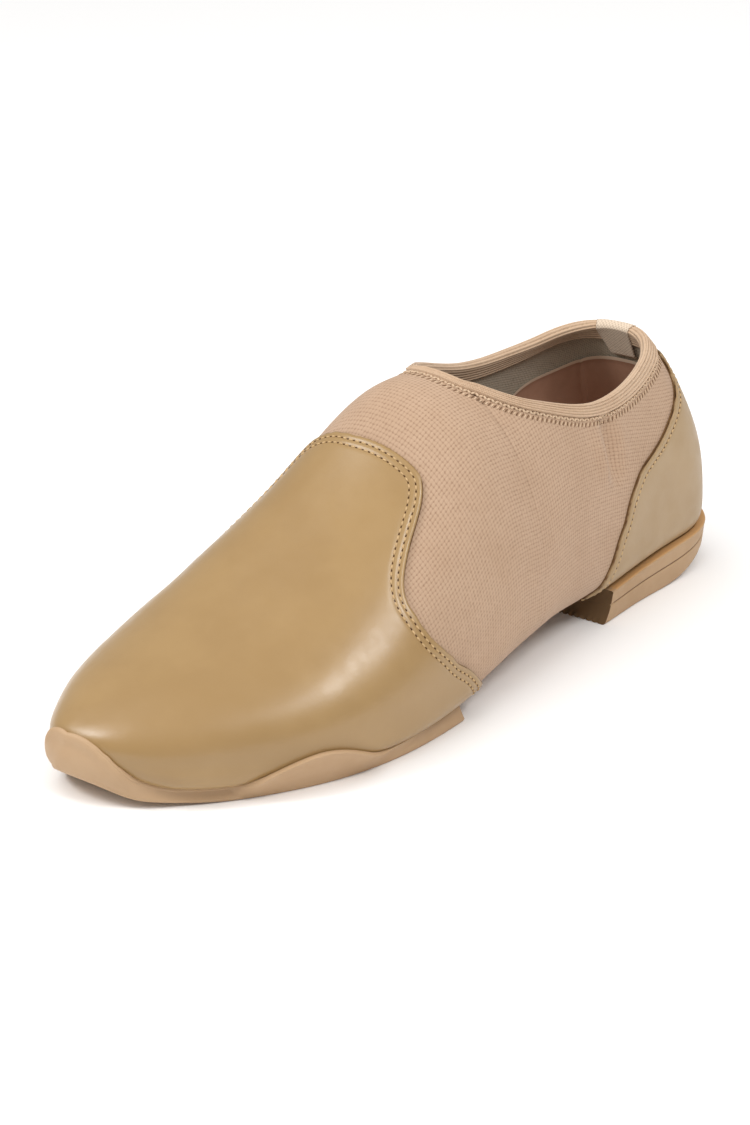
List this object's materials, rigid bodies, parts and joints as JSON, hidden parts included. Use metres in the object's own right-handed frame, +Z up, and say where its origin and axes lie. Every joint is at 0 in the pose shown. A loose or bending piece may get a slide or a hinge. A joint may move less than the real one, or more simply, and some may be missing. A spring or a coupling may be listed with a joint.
{
  "type": "color guard shoe",
  "caption": "Slip-on color guard shoe for the left foot: stretch fabric upper with leather vamp and counter, split rubber sole with a wavy toe cup and a low ribbed heel.",
  "frame": {"origin": "middle of the shoe's footprint box, on the floor under its sole", "axes": "+Z up, toe towards -Y, outer side of the foot towards +X"},
  "size_m": [0.0924, 0.2552, 0.0905],
  "materials": {
    "upper": "matte woven stretch fabric, light tan",
    "vamp": "smooth tan leather with a soft gloss",
    "counter": "smooth tan leather, less gloss",
    "collar_binding": "ribbed elastic tape",
    "forefoot_sole": "matte tan rubber",
    "heel": "matte tan rubber",
    "insole": "brown brushed lining"
  },
  "bodies": {
    "root": {"upper": "upper", "vamp": "vamp", "counter": "counter", "collar_binding": "collar_binding", "forefoot_sole": "forefoot_sole", "heel": "heel", "insole": "insole"}
  },
  "joints": []
}
